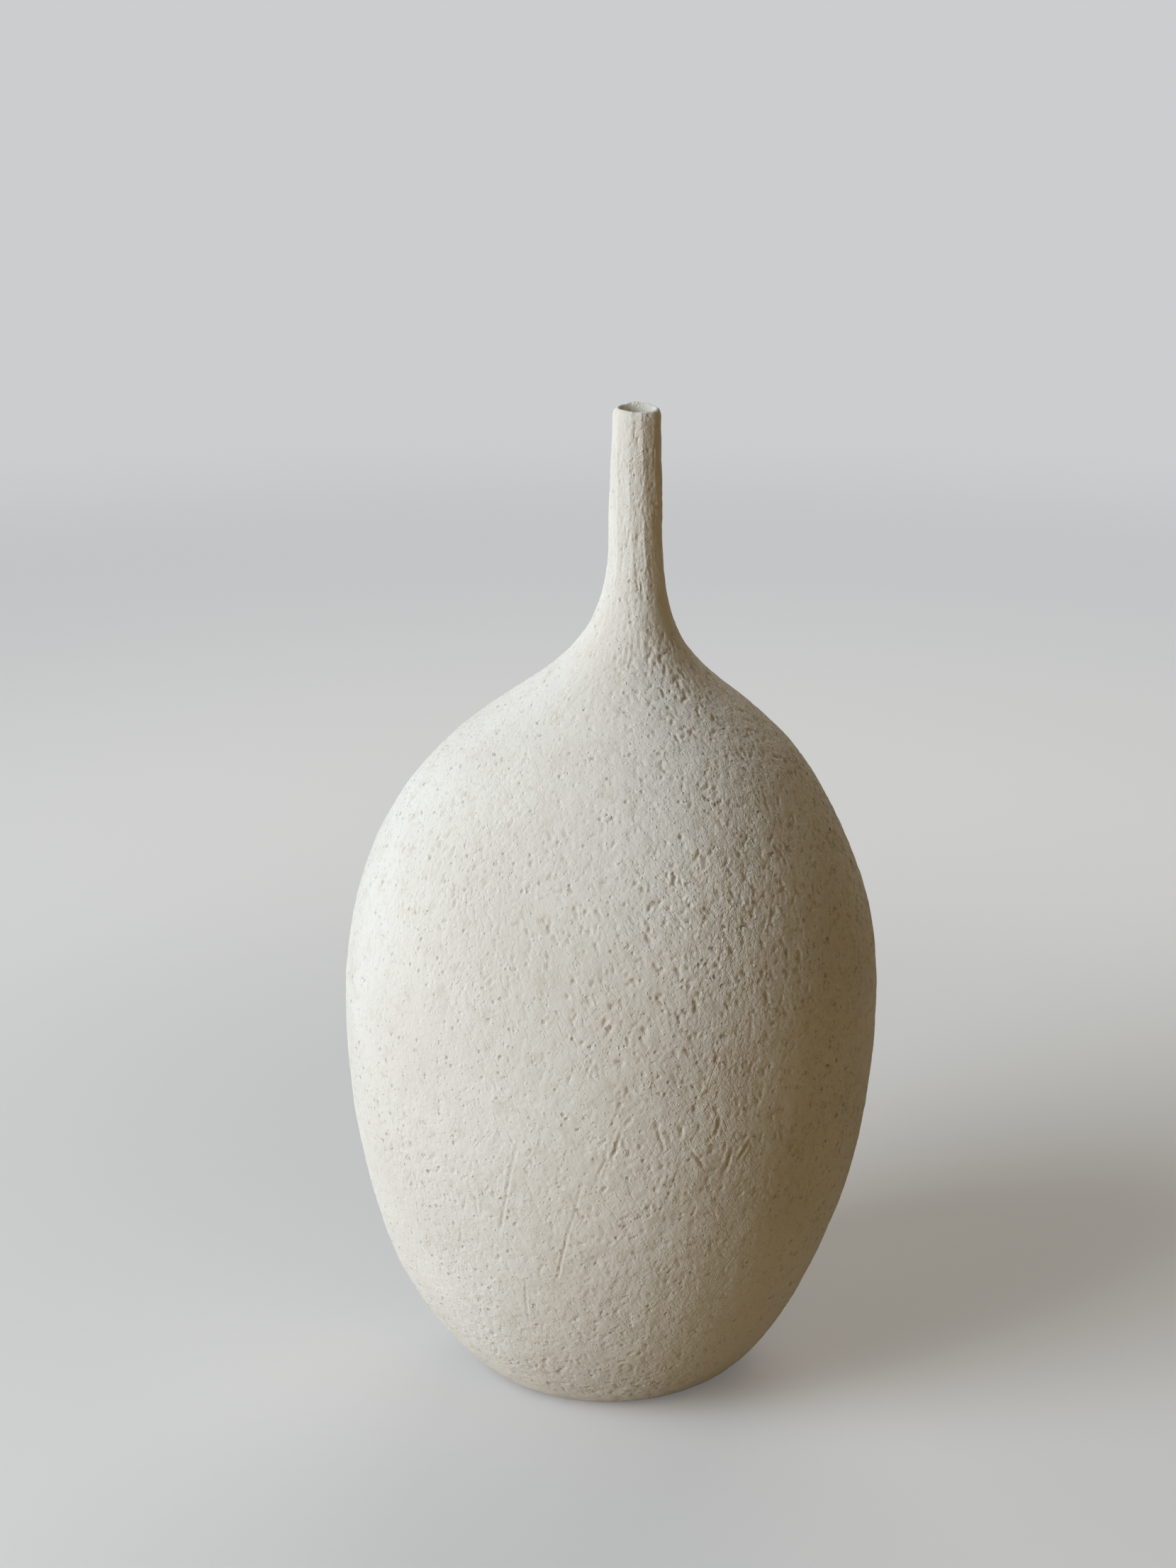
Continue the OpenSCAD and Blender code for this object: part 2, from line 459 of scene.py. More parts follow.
class Shell:
    """A closed solid made of rings, in order round its section."""

    def __init__(self, form: PotForm) -> None:
        """Starts empty.

        Args:
            form: the pot, for the line its middle follows.
        """
        self.form = form
        self.co: list = []
        self.out: list = []
        self.mark: list = []
        self.relief: list = []
        self.rings: list = []
        self.quads: list = []
        self.tris: list = []
        self.sharp: set = set()
        self.size = 0

    def ring(self, r: float, z: float, nr: float, nz: float, count: int, relief: float = 0.0,
             mark: np.ndarray | None = None, rise: np.ndarray | None = None, corner: bool = False) -> None:
        """Adds one ring and joins it to the last.

        Args:
            r: its radius, or 0 for a single point.
            z: its height.
            nr: radial part of its outward normal.
            nz: upward part of it.
            count: points round it.
            relief: share of the clay's own unevenness it takes.
            mark: height of the tool marks at each point.
            rise: height added to each point.
            corner: whether the surface turns sharply there.
        """
        count = 1 if r == 0 else count
        turn = np.arange(count) * 2 * math.pi / count
        c, s = np.cos(turn), np.sin(turn)
        up = np.full(count, z) + (0 if rise is None else rise)
        self.co.append(np.stack([r * c + self.form.centre(up), r * s, up], 1))
        self.out.append(np.stack([nr * c, nr * s, np.full(count, nz)], 1))
        self.mark.append(np.zeros(count) if mark is None else mark)
        self.relief.append(np.full(count, relief))
        self.rings.append((self.size, count))
        if corner:
            self.sharp.add(len(self.rings) - 1)
        self.size += count
        if len(self.rings) > 1:
            self.join(self.rings[-2], self.rings[-1])

    def join(self, low: tuple, high: tuple) -> None:
        """Fills between two rings, which may have different numbers of points.

        Args:
            low: first point and number of points of the earlier ring.
            high: the same of the later ring.
        """
        (a, n), (b, m) = low, high
        if n == 1 and m == 1:
            return
        if n == 1 or m == 1:
            k = np.arange(max(n, m))
            nxt = (k + 1) % len(k)
            lone = np.full(len(k), a if n == 1 else b)
            fan = (lone, b + nxt, b + k) if n == 1 else (a + k, a + nxt, lone)
            self.tris.append(np.stack(fan, 1))
            return
        if n == m:
            k = np.arange(n)
            nxt = (k + 1) % n
            self.quads.append(np.stack([a + k, a + nxt, b + nxt, b + k], 1))
            return
        i = j = 0
        fans = []
        while i < n or j < m:
            if j >= m or (i < n and (i + 1) * m <= (j + 1) * n):
                fans.append((a + i % n, a + (i + 1) % n, b + j % m))
                i += 1
            else:
                fans.append((a + i % n, b + (j + 1) % m, b + j % m))
                j += 1
        self.tris.append(np.array(fans))

    def close(self) -> None:
        """Joins the last ring to the first, unless the solid ends in points."""
        self.join(self.rings[-1], self.rings[0])

    def mesh(self, name: str) -> bpy.types.Mesh:
        """Makes the mesh, with what the relief tree reads as attributes.

        Args:
            name: the mesh's name.

        Returns:
            The mesh.
        """
        co = np.vstack(self.co).astype(np.float32)
        quads = np.vstack(self.quads) if self.quads else np.zeros((0, 4), int)
        tris = np.vstack(self.tris) if self.tris else np.zeros((0, 3), int)
        mesh = bpy.data.meshes.new(name)
        mesh.vertices.add(len(co))
        mesh.vertices.foreach_set("co", co.ravel())
        loops = np.concatenate([quads.ravel(), tris.ravel()]).astype(np.int32)
        mesh.loops.add(len(loops))
        mesh.loops.foreach_set("vertex_index", loops)
        starts = np.concatenate([np.arange(len(quads)) * 4, 4 * len(quads) + np.arange(len(tris)) * 3])
        mesh.polygons.add(len(starts))
        mesh.polygons.foreach_set("loop_start", starts.astype(np.int32))
        mesh.update(calc_edges=True)
        flat = np.zeros(len(co), np.int32)
        for k in self.sharp:
            start, count = self.rings[k]
            flat[start:start + count] = k + 1
        ends = np.zeros(len(mesh.edges) * 2, np.int32)
        mesh.edges.foreach_get("vertices", ends)
        ends = flat[ends.reshape(-1, 2)]
        sharp = mesh.attributes.new("sharp_edge", "BOOLEAN", "EDGE")
        sharp.data.foreach_set("value", (ends[:, 0] > 0) & (ends[:, 0] == ends[:, 1]))
        self.attribute(mesh, "out", "FLOAT_VECTOR", np.vstack(self.out))
        self.attribute(mesh, "mark", "FLOAT", np.concatenate(self.mark))
        self.attribute(mesh, "relief", "FLOAT", np.concatenate(self.relief))
        if mesh.validate():
            log.warning("%s had faces that could not be kept", name)
        return mesh

    @staticmethod
    def attribute(mesh: bpy.types.Mesh, name: str, kind: str, values: np.ndarray) -> None:
        """Stores one value for each point.

        Args:
            mesh: the mesh.
            name: the attribute's name.
            kind: Blender's name for its type.
            values: the values.
        """
        layer = mesh.attributes.new(name, kind, "POINT")
        key = "vector" if kind == "FLOAT_VECTOR" else "value"
        layer.data.foreach_set(key, np.ascontiguousarray(values, np.float32).ravel())


class Tree:
    """A node tree and short ways to add to it."""

    def __init__(self, tree: bpy.types.NodeTree) -> None:
        """Empties the tree.

        Args:
            tree: the tree to fill.
        """
        self.tree = tree
        tree.nodes.clear()

    def add(self, kind: str, values: dict | None = None, **settings: object) -> bpy.types.Node:
        """Adds a node.

        Args:
            kind: its type.
            values: socket name or index to a value, or to the socket that feeds it.
            settings: the node's own settings.

        Returns:
            The node.
        """
        node = self.tree.nodes.new(kind)
        for key, value in settings.items():
            setattr(node, key, value)
        for key, value in (values or {}).items():
            if isinstance(value, bpy.types.NodeSocket):
                self.tree.links.new(value, node.inputs[key])
            else:
                node.inputs[key].default_value = value
        return node

    def maths(self, operation: str, *values: object) -> bpy.types.NodeSocket:
        """Adds one sum and returns its result.

        Args:
            operation: the Math node's operation.
            values: numbers or sockets.

        Returns:
            The result's socket.
        """
        return self.add("ShaderNodeMath", dict(enumerate(values)), operation=operation).outputs[0]

    def span(self, value: bpy.types.NodeSocket, low: float, high: float, to_low: float = 0.0,
             to_high: float = 1.0) -> bpy.types.NodeSocket:
        """Maps one range of values smoothly onto another.

        Args:
            value: what is mapped.
            low: value that gives to_low.
            high: value that gives to_high.
            to_low: result at and before low.
            to_high: result at and past high.

        Returns:
            The result's socket.
        """
        node = self.add("ShaderNodeMapRange", {0: value, 1: low, 2: high, 3: to_low, 4: to_high})
        node.interpolation_type = "SMOOTHSTEP"
        return node.outputs[0]


class ReliefTree:
    """Geometry Nodes that push the smooth clay out to its real, uneven surface."""

    INPUTS = {
        "Mark depth": 1.0,
        "Lump height": 0.00034,
        "Lump size": 0.034,
        "Dent height": 0.00022,
        "Dent size": 0.0075,
        "Leather height": 0.00011,
        "Leather size": 0.0026,
    }

    def __init__(self) -> None:
        """Builds the tree."""
        self.tree = bpy.data.node_groups.new("clay_relief", "GeometryNodeTree")
        face = self.tree.interface
        face.new_socket("Geometry", in_out="INPUT", socket_type="NodeSocketGeometry")
        for name, value in self.INPUTS.items():
            face.new_socket(name, in_out="INPUT", socket_type="NodeSocketFloat").default_value = value
        face.new_socket("Clay", in_out="INPUT", socket_type="NodeSocketMaterial")
        face.new_socket("Geometry", in_out="OUTPUT", socket_type="NodeSocketGeometry")
        t = Tree(self.tree)
        given = t.add("NodeGroupInput").outputs
        here = t.add("GeometryNodeInputPosition").outputs[0]
        out = self.named(t, "out", "FLOAT_VECTOR")
        mark = t.maths("MULTIPLY", self.named(t, "mark", "FLOAT"), given["Mark depth"])
        uneven = None
        for name, detail in (("Lump", 1.0), ("Dent", 1.5), ("Leather", 3.0)):
            scale = t.maths("DIVIDE", 1.0, given[name + " size"])
            noise = t.add("ShaderNodeTexNoise", {"Vector": here, "Scale": scale, "Detail": detail})
            wave = t.maths("MULTIPLY", t.maths("SUBTRACT", noise.outputs[0], 0.5), 2.0)
            wave = t.maths("MULTIPLY", wave, given[name + " height"])
            uneven = wave if uneven is None else t.maths("ADD", uneven, wave)
        uneven = t.maths("MULTIPLY", uneven, self.named(t, "relief", "FLOAT"))
        push = t.maths("ADD", uneven, mark)
        offset = t.add("ShaderNodeVectorMath", {0: out, "Scale": push}, operation="SCALE").outputs[0]
        moved = t.add("GeometryNodeSetPosition", {"Geometry": given["Geometry"], "Offset": offset})
        soft = t.add("GeometryNodeSetShadeSmooth", {"Geometry": moved.outputs[0]})
        whole = t.add("GeometryNodeRealizeInstances", {"Geometry": soft.outputs[0]})
        dressed = t.add("GeometryNodeSetMaterial", {"Geometry": whole.outputs[0], "Material": given["Clay"]})
        t.add("NodeGroupOutput", {"Geometry": dressed.outputs[0]})

    @staticmethod
    def named(t: Tree, name: str, kind: str) -> bpy.types.NodeSocket:
        """Reads one attribute of the mesh.

        Args:
            t: the tree.
            name: the attribute.
            kind: its type.

        Returns:
            The attribute's socket.
        """
        return t.add("GeometryNodeInputNamedAttribute", {"Name": name}, data_type=kind).outputs[0]


class GrainTree:
    """Geometry Nodes that seat grains of grog in the finished surface."""

    INPUTS = {"Spacing": 0.0027, "Per square metre": 46000.0, "Grain": 0.00026, "Sunk": 0.00007}

    def __init__(self) -> None:
        """Builds the tree."""
        self.tree = bpy.data.node_groups.new("grog_grains", "GeometryNodeTree")
        face = self.tree.interface
        face.new_socket("Geometry", in_out="INPUT", socket_type="NodeSocketGeometry")
        for name, value in self.INPUTS.items():
            face.new_socket(name, in_out="INPUT", socket_type="NodeSocketFloat").default_value = value
        face.new_socket("Seed", in_out="INPUT", socket_type="NodeSocketInt").default_value = 7
        face.new_socket("Clay", in_out="INPUT", socket_type="NodeSocketMaterial")
        face.new_socket("Geometry", in_out="OUTPUT", socket_type="NodeSocketGeometry")
        t = Tree(self.tree)
        given = t.add("NodeGroupInput").outputs
        spots = t.add(
            "GeometryNodeDistributePointsOnFaces",
            {"Mesh": given["Geometry"], "Distance Min": given["Spacing"],
             "Density Max": given["Per square metre"], "Seed": given["Seed"]},
            distribute_method="POISSON",
        )
        sink = t.maths("MULTIPLY", given["Sunk"], -1.0)
        down = {0: spots.outputs["Normal"], "Scale": sink}
        offset = t.add("ShaderNodeVectorMath", down, operation="SCALE").outputs[0]
        seated = t.add("GeometryNodeSetPosition", {"Geometry": spots.outputs["Points"], "Offset": offset})
        size = t.add("FunctionNodeRandomValue", {0: (0.5, 0.5, 0.35), 1: (1.25, 1.0, 0.7), "Seed": 3})
        size.data_type = "FLOAT_VECTOR"
        spin = t.add("FunctionNodeRandomValue", {0: (0.0, 0.0, 0.0), 1: (6.3, 6.3, 6.3), "Seed": 5})
        spin.data_type = "FLOAT_VECTOR"
        ball = t.add("GeometryNodeMeshIcoSphere", {"Radius": given["Grain"], "Subdivisions": 1})
        copies = t.add(
            "GeometryNodeInstanceOnPoints",
            {"Points": seated.outputs[0], "Instance": ball.outputs[0], "Rotation": spin.outputs[0],
             "Scale": size.outputs[0]},
        )
        whole = t.add("GeometryNodeRealizeInstances", {"Geometry": copies.outputs[0]})
        soft = t.add("GeometryNodeSetShadeSmooth", {"Geometry": whole.outputs[0]})
        dressed = t.add("GeometryNodeSetMaterial", {"Geometry": soft.outputs[0], "Material": given["Clay"]})
        t.add("NodeGroupOutput", {"Geometry": dressed.outputs[0]})


def grow(mesh: bpy.types.Mesh, name: str, tree: bpy.types.NodeTree, settings: dict) -> bpy.types.Object:
    """Runs a tree on a mesh and keeps the result as a plain object.

    Args:
        mesh: what the tree starts from.
        name: name of the new piece.
        tree: the Geometry Nodes tree.
        settings: input name to value.

    Returns:
        The piece, with no modifier on it.
    """
    host = bpy.data.objects.new(name + "_host", mesh)
    bpy.context.scene.collection.objects.link(host)
    modifier = host.modifiers.new("grow", "NODES")
    modifier.node_group = tree
    sockets = {s.name: s.identifier for s in tree.interface.items_tree if s.in_out == "INPUT"}
    for key, value in settings.items():
        modifier[sockets[key]] = value
    ready = host.evaluated_get(bpy.context.evaluated_depsgraph_get())
    result = bpy.data.meshes.new_from_object(ready)
    result.name = name
    bpy.data.objects.remove(host)
    bpy.data.meshes.remove(mesh)
    piece = bpy.data.objects.new(name, result)
    bpy.context.scene.collection.objects.link(piece)
    return piece


@dataclass(frozen=True)
class Stoneware:
    """Unglazed, grogged clay, scraped and fired."""

    name: str = "stoneware"
    body: tuple = (0.733, 0.712, 0.667, 1.0)
    # pale: the paler clouds of the clay, and also the painted highlight on the raised burrs of the tool
    # marks
    pale: tuple = (0.782, 0.772, 0.733, 1.0)
    # warm: the clay's warm mottle, and also the painted shade in the pits of the tool marks, partly the
    # clay's own warm recess tone
    warm: tuple = (0.645, 0.6, 0.52, 1.0)
    # brown of the spots laid in the torn pits: partly the clay's own iron spots, partly painted shade in the
    # pits
    speck_and_pit_shade: tuple = (0.42, 0.34, 0.25, 1.0)
    shake_scale: float = 900.0
    shake_reach: float = 0.6 * MM
    grit_depth: float = 0.2 * MM
    pit_depth: float = 0.24 * MM
    pore_depth: float = 0.1 * MM
    grain_height: float = 0.16 * MM
    stroke_depth: float = 0.085 * MM
    cross_depth: float = 0.07 * MM
    grain_bump: float = 1.0
    pit_bump: float = 1.0
    roughness: float = 0.92

    def material(self) -> bpy.types.Material:
        """Makes the finish.

        Returns:
            The material.
        """
        made = bpy.data.materials.new(self.name)
        made.use_nodes = True
        t = Tree(made.node_tree)
        here = t.add("ShaderNodeTexCoord").outputs["Object"]
        colour = self.colour(t, here)
        skin = t.add(
            "ShaderNodeBsdfPrincipled",
            {"Base Color": colour, "Roughness": self.rough(t, here), "Normal": self.bump(t, here),
             "Specular IOR Level": 0.28, "Diffuse Roughness": 0.75},
        )
        t.add("ShaderNodeOutputMaterial", {"Surface": skin.outputs[0]})
        return made

    def colour(self, t: Tree, here: bpy.types.NodeSocket) -> bpy.types.NodeSocket:
        """Mixes the clay's tones, slow clouds and a warm mottle, and paints light and shade on the tool
        marks: the pits are tinted warm and dark (painted shade, partly the clay's own warm recess tone), the
        crests are paler (painted highlight), and brown spots sit in the torn pits (partly the clay's own
        iron spots, partly painted shade).

        Args:
            t: the material's tree.
            here: the place on the piece.

        Returns:
            The colour's socket.
        """
        clouds = t.add("ShaderNodeTexNoise", {"Vector": here, "Scale": 22.0, "Detail": 3.0})
        mottle = t.add(
            "ShaderNodeTexNoise", {"Vector": here, "Scale": 210.0, "Detail": 4.0, "Roughness": 0.6}
        )
        cloud = t.span(clouds.outputs[0], 0.34, 0.68)
        tone = self.mix(t, cloud, self.body, self.pale)
        tone = self.mix(t, t.span(mottle.outputs[0], 0.52, 0.74, 0.0, 0.45), tone, self.warm)
        mark = t.add("ShaderNodeAttribute", attribute_name="mark").outputs["Fac"]
        # painted shade: the pits of the tool marks are tinted warm and dark, partly the clay's own warm
        # recess tone
        tone = self.mix(t, t.span(mark, -0.00005, -0.0003, 0.0, 0.6), tone, self.warm)
        # painted highlight: the raised burrs beside the tool marks are painted paler
        tone = self.mix(t, t.span(mark, 0.00002, 0.00012, 0.0, 0.5), tone, self.pale)
        # brown spots in the same cells as the deepest torn pits of the bump: partly the clay's own iron
        # spots, partly painted shade in the pits
        cells = t.add("ShaderNodeTexVoronoi", {"Vector": self.shaken(t, here), "Scale": 430.0})
        chosen = t.add("ShaderNodeSeparateColor", {0: cells.outputs["Color"]}).outputs[1]
        spot = t.span(cells.outputs["Distance"], 0.21, 0.09)
        spot = t.maths("MULTIPLY", spot, t.span(chosen, 0.5, 0.95, 0.0, 0.5))
        return self.mix(t, spot, tone, self.speck_and_pit_shade)

    def rough(self, t: Tree, here: bpy.types.NodeSocket) -> bpy.types.NodeSocket:
        """Varies how dull the clay is, where the scraper burnished it.

        Args:
            t: the material's tree.
            here: the place on the piece.

        Returns:
            The roughness's socket.
        """
        rub = t.add("ShaderNodeTexNoise", {"Vector": here, "Scale": 95.0, "Detail": 3.0})
        return t.span(rub.outputs[0], 0.3, 0.7, self.roughness - 0.12, self.roughness)

    def bump(self, t: Tree, here: bpy.types.NodeSocket) -> bpy.types.NodeSocket:
        """Adds what is finer than the mesh: grit, torn pits and short crossing strokes.

        Args:
            t: the material's tree.
            here: the place on the piece.

        Returns:
            The normal's socket.
        """
        torn = self.shaken(t, here)
        layers = (
            (self.grit(t, here), self.grit_depth * self.grain_bump),
            (self.spots(t, torn, 430.0, 0.32, -1.0), self.pit_depth * self.pit_bump),
            (self.spots(t, torn, 900.0, 0.32, -1.0), self.pore_depth * self.pit_bump),
            (self.spots(t, torn, 700.0, 0.28, 1.0), self.grain_height * self.pit_bump),
            (self.strokes(t, here, 8.0, 3.0), self.stroke_depth * self.pit_bump),
            (self.strokes(t, here, -7.0, 11.0), self.cross_depth * self.pit_bump),
        )
        place = t.add("ShaderNodeSeparateXYZ", {0: here}).outputs
        left = t.span(place[0], -0.05, -0.008, 1.55, 1.0)
        right = t.span(place[0], 0.0, 0.06, 0.78, 2.05)
        share = t.maths("MULTIPLY", left, right)
        share = t.maths("MULTIPLY", share, t.span(place[2], 0.05, 0.15, 0.92, 1.2))
        normal = None
        for height, deep in layers:
            deep = t.maths("MULTIPLY", share, deep)
            node = t.add("ShaderNodeBump", {"Strength": 1.0, "Distance": deep, "Height": height})
            if normal is not None:
                t.tree.links.new(normal, node.inputs["Normal"])
            normal = node.outputs[0]
        return normal

    def shaken(self, t: Tree, here: bpy.types.NodeSocket) -> bpy.types.NodeSocket:
        """Makes the place uneven, so that round spots drawn with it come out ragged.

        Args:
            t: the material's tree.
            here: the place on the piece.

        Returns:
            The uneven place.
        """
        noise = t.add("ShaderNodeTexNoise", {"Vector": here, "Scale": self.shake_scale, "Detail": 2.0})
        middle = {0: noise.outputs["Color"], 1: (0.5, 0.5, 0.5)}
        off = t.add("ShaderNodeVectorMath", middle, operation="SUBTRACT").outputs[0]
        short = {0: off, "Scale": self.shake_reach}
        off = t.add("ShaderNodeVectorMath", short, operation="SCALE").outputs[0]
        return t.add("ShaderNodeVectorMath", {0: here, 1: off}, operation="ADD").outputs[0]

    @staticmethod
    def grit(t: Tree, here: bpy.types.NodeSocket) -> bpy.types.NodeSocket:
        """Gives the height of the sandy skin.

        Args:
            t: the material's tree.
            here: the place on the piece.

        Returns:
            Heights from 0 to 1.
        """
        sand = t.add(
            "ShaderNodeTexNoise", {"Vector": here, "Scale": 1000.0, "Detail": 4.0, "Roughness": 0.62}
        )
        coarse = t.add("ShaderNodeTexNoise", {"Vector": here, "Scale": 380.0, "Detail": 2.0})
        return t.maths("ADD", sand.outputs[0], t.maths("MULTIPLY", coarse.outputs[0], 0.8))

    @staticmethod
    def spots(t: Tree, here: bpy.types.NodeSocket, scale: float, size: float,
              way: float) -> bpy.types.NodeSocket:
        """Gives pits where grains tore out, or grains that stand proud, in about half of the cells.

        Args:
            t: the material's tree.
            here: the uneven place.
            scale: cells in a metre.
            size: radius of a spot, as a share of its cell.
            way: -1 for pits, 1 for grains.

        Returns:
            Heights, 0 between the spots.
        """
        cells = t.add("ShaderNodeTexVoronoi", {"Vector": here, "Scale": scale})
        chosen = t.add("ShaderNodeSeparateColor", {0: cells.outputs["Color"]}).outputs[1]
        spot = t.span(cells.outputs["Distance"], size * 0.25, size, way, 0.0)
        return t.maths("MULTIPLY", spot, t.span(chosen, 0.3, 0.85))

    @staticmethod
    def strokes(t: Tree, here: bpy.types.NodeSocket, twist: float, patch: float) -> bpy.types.NodeSocket:
        """Gives the depth of short strokes that wind one way round the pot, in patches.

        Args:
            t: the material's tree.
            here: the place on the piece.
            twist: how fast the strokes wind, in radians for each metre of height.
            patch: picks which patches they lie in.

        Returns:
            Heights from -1 to 0.
        """
        height = t.add("ShaderNodeSeparateXYZ", {0: here}).outputs[2]
        turned = t.add(
            "ShaderNodeVectorRotate", {"Vector": here, "Angle": t.maths("MULTIPLY", height, twist)},
            rotation_type="Z_AXIS",
        )
        drawn = t.add("ShaderNodeMapping", {"Vector": turned.outputs[0], "Scale": (1.0, 1.0, 0.33)})
        noise = t.add(
            "ShaderNodeTexNoise",
            {"Vector": drawn.outputs[0], "Scale": 950.0, "Detail": 2.5, "Roughness": 0.55},
        )
        cut = t.span(noise.outputs[0], 0.32, 0.48, -1.0, 0.0)
        moved = t.add("ShaderNodeMapping", {"Vector": here, "Location": (patch, 0.0, 0.0)})
        where = t.add("ShaderNodeTexNoise", {"Vector": moved.outputs[0], "Scale": 48.0, "Detail": 1.0})
        return t.maths("MULTIPLY", cut, t.span(where.outputs[0], 0.42, 0.64, 0.3, 1.0))

    @staticmethod
    def mix(t: Tree, share: object, one: object, other: object) -> bpy.types.NodeSocket:
        """Mixes two colours.

        Args:
            t: the material's tree.
            share: how much of the other.
            one: the first colour.
            other: the second colour.

        Returns:
            The mixed colour's socket.
        """
        node = t.add("ShaderNodeMix", data_type="RGBA")
        for key, value in ((0, share), (6, one), (7, other)):
            if isinstance(value, bpy.types.NodeSocket):
                t.tree.links.new(value, node.inputs[key])
            else:
                node.inputs[key].default_value = value
        return node.outputs[2]


@dataclass(frozen=True)
class LinerGlaze:
    """Satin glaze poured inside, milky over the clay."""

    name: str = "liner_glaze"
    milk: tuple = (0.74, 0.72, 0.66, 1.0)
    clear: tuple = (0.62, 0.57, 0.48, 1.0)
    roughness: float = 0.24

    def material(self) -> bpy.types.Material:
        """Makes the finish.

        Returns:
            The material.
        """
        made = bpy.data.materials.new(self.name)
        made.use_nodes = True
        t = Tree(made.node_tree)
        here = t.add("ShaderNodeTexCoord").outputs["Object"]
        pool = t.add("ShaderNodeTexNoise", {"Vector": here, "Scale": 60.0, "Detail": 3.0})
        tone = Stoneware.mix(t, t.span(pool.outputs[0], 0.35, 0.7), self.milk, self.clear)
        orange = t.add("ShaderNodeTexNoise", {"Vector": here, "Scale": 420.0, "Detail": 1.0})
        wave = t.add("ShaderNodeBump", {"Strength": 0.2, "Distance": 0.0001, "Height": orange.outputs[0]})
        skin = t.add(
            "ShaderNodeBsdfPrincipled",
            {"Base Color": tone, "Roughness": self.roughness, "Normal": wave.outputs[0], "Coat Weight": 0.5,
             "Coat Roughness": 0.12},
        )
        t.add("ShaderNodeOutputMaterial", {"Surface": skin.outputs[0]})
        return made


@dataclass
class Section:
    """One clay section of the pot, from its seam below to its seam above."""

    node: str
    form: PotForm
    marks: ToolMarks
    low: float
    high: float
    low_rise: float = 0.0
    high_rise: float = 0.0
    grid: float = 0.44 * MM
    inner_rows: int = 24
    inner_points: int = 160

    def points(self, r: float) -> int:
        """Chooses how many points go round at a radius.

        Args:
            r: the radius.

        Returns:
            The number, the same for every section at that radius.
        """
        want = 2 * math.pi * r / self.grid
        count, least, step = 1000, 60, 0.8
        while count * step > want and count > least:
            count = int(count * step / 4 + 0.5) * 4
        return count

    def outer(self, shell: Shell) -> None:
        """Adds the outside, from the lower seam to the upper.

        Args:
            shell: the solid being made.
        """
        runs = np.linspace(self.form.run_at(self.low), self.form.run_at(self.high), self.rows())
        r, z, nr, nz = self.form.skin_at(runs)
        for k in range(len(runs)):
            count = self.points(r[k])
            turn = np.arange(count) * 2 * math.pi / count
            seat = float(smooth(np.array(z[k]), 0.1 * MM, 2.2 * MM))
            mark = self.marks.sample(np.full(count, runs[k]), turn) * seat
            shell.ring(r[k], z[k], nr[k], nz[k], count, seat, mark, corner=k in (0, len(runs) - 1))

    def rows(self) -> int:
        """Gives the number of rings up the outside."""
        return int((self.form.run_at(self.high) - self.form.run_at(self.low)) / self.grid) + 2

    def inner(self, shell: Shell) -> None:
        """Adds the inside, from the upper seam to the lower.

        Args:
            shell: the solid being made.
        """
        heights = np.linspace(self.high + self.high_rise, self.low + self.low_rise, self.inner_rows)
        radii = self.form.inner_r(heights)
        slopes = np.gradient(radii, heights)
        for k in range(len(heights)):
            size, seam = math.hypot(1, slopes[k]), k in (0, len(heights) - 1)
            shell.ring(radii[k], heights[k], -1 / size, slopes[k] / size, self.inner_points, corner=seam)

    def shell(self) -> Shell:
        """Makes the section's solid.

        Returns:
            The solid.
        """
        made = Shell(self.form)
        self.outer(made)
        self.inner(made)
        made.close()
        return made

    def build(self, relief: ReliefTree, clay: bpy.types.Material) -> bpy.types.Object:
        """Makes the section, with its relief.

        Args:
            relief: the tree that makes the surface uneven.
            clay: its finish.

        Returns:
            The piece.
        """
        mesh = self.shell().mesh(self.node)
        piece = grow(mesh, self.node + "_clay", relief.tree, {**relief.INPUTS, "Clay": clay})
        report(piece, (self.node,))
        return piece


@dataclass
class FootSlab(Section):
    """The slab the pot stands on, hollowed a little underneath."""

    dish_r: float = 19 * MM
    dish_depth: float = 1 * MM
    dish_round: float = 4 * MM
    dish_points: int = 240
    ring_points: int = 400

    def shell(self) -> Shell:
        """Makes the slab's solid, from the middle of the hollow round to the middle of its top."""
        made = Shell(self.form)
        relief, count = 0.3, self.dish_points
        made.ring(0, self.dish_depth, 0, -1, 1, relief)
        for r in np.linspace(1.2 * MM, self.dish_r - self.dish_round, 20):
            made.ring(r, self.dish_depth, 0, -1, count, relief)
        for t in np.linspace(0, 1, 10)[1:]:
            r, drop = self.dish_r - self.dish_round * (1 - t), float(smooth(np.array(t), 0, 1))
            made.ring(r, self.dish_depth * (1 - drop), 0, -1, count, relief * (1 - t))
        for r in np.linspace(self.dish_r, self.form.foot_r, 16)[1:-1]:
            made.ring(r, 0, 0, -1, self.ring_points)
        self.outer(made)
        rim_r = self.form.skin_at(np.array([self.form.run_at(self.high)]))[0][0]
        for r in np.linspace(rim_r, 0, 8)[1:]:
            made.ring(r, self.high, 0, 1, self.inner_points)
        return made


